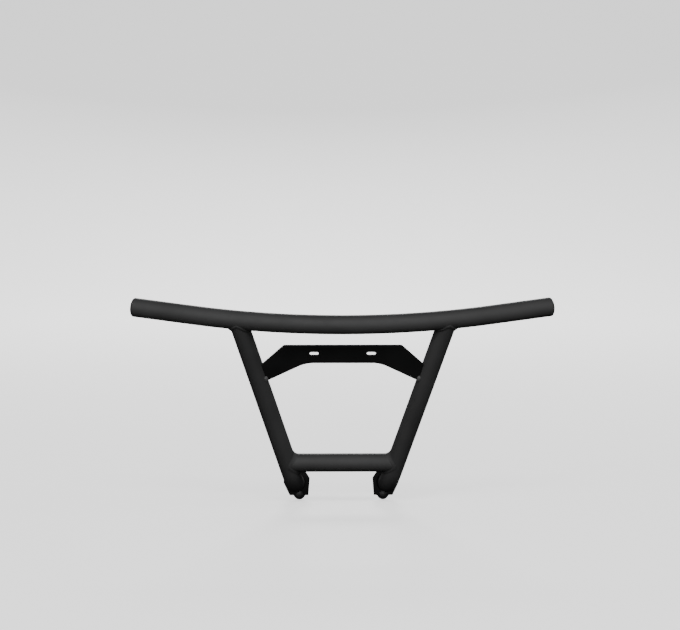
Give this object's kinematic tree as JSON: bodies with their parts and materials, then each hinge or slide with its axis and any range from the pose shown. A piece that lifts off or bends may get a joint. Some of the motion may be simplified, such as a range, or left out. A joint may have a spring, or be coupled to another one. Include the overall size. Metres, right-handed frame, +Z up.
{
  "type": "atv rear bumper",
  "caption": "Welded tube rear bumper for an all-terrain vehicle, with a bowed top tube, converging legs, an arched bridge plate and bolt-on feet.",
  "frame": {"origin": "middle of the bridge plate's forward face, between its two bolt slots", "axes": "+Y forward to the vehicle, -Y to the rear, +Z up as fitted, X across, with left at -X as seen from behind"},
  "size_m": [0.8904, 0.287, 0.4572],
  "materials": {
    "powder_coat": "satin black powder coat",
    "end_plug": "matte black moulding",
    "fastener": "dark zinc plate"
  },
  "bodies": {
    "root": {"top_tube": "powder_coat", "left_upright": "powder_coat", "right_upright": "powder_coat", "lower_cross_tube": "powder_coat", "bridge_plate": "powder_coat", "left_foot_plate": "powder_coat", "right_foot_plate": "powder_coat", "left_end_plug": "end_plug", "right_end_plug": "end_plug", "left_top_weld": "powder_coat", "right_top_weld": "powder_coat", "left_cross_weld": "powder_coat", "right_cross_weld": "powder_coat", "left_bridge_stitch": "powder_coat", "right_bridge_stitch": "powder_coat", "left_bridge_weld": "powder_coat", "right_bridge_weld": "powder_coat", "left_foot_weld": "powder_coat", "right_foot_weld": "powder_coat", "left_foot_bolt": "fastener", "right_foot_bolt": "fastener", "left_foot_washer": "fastener", "right_foot_washer": "fastener"}
  },
  "joints": []
}
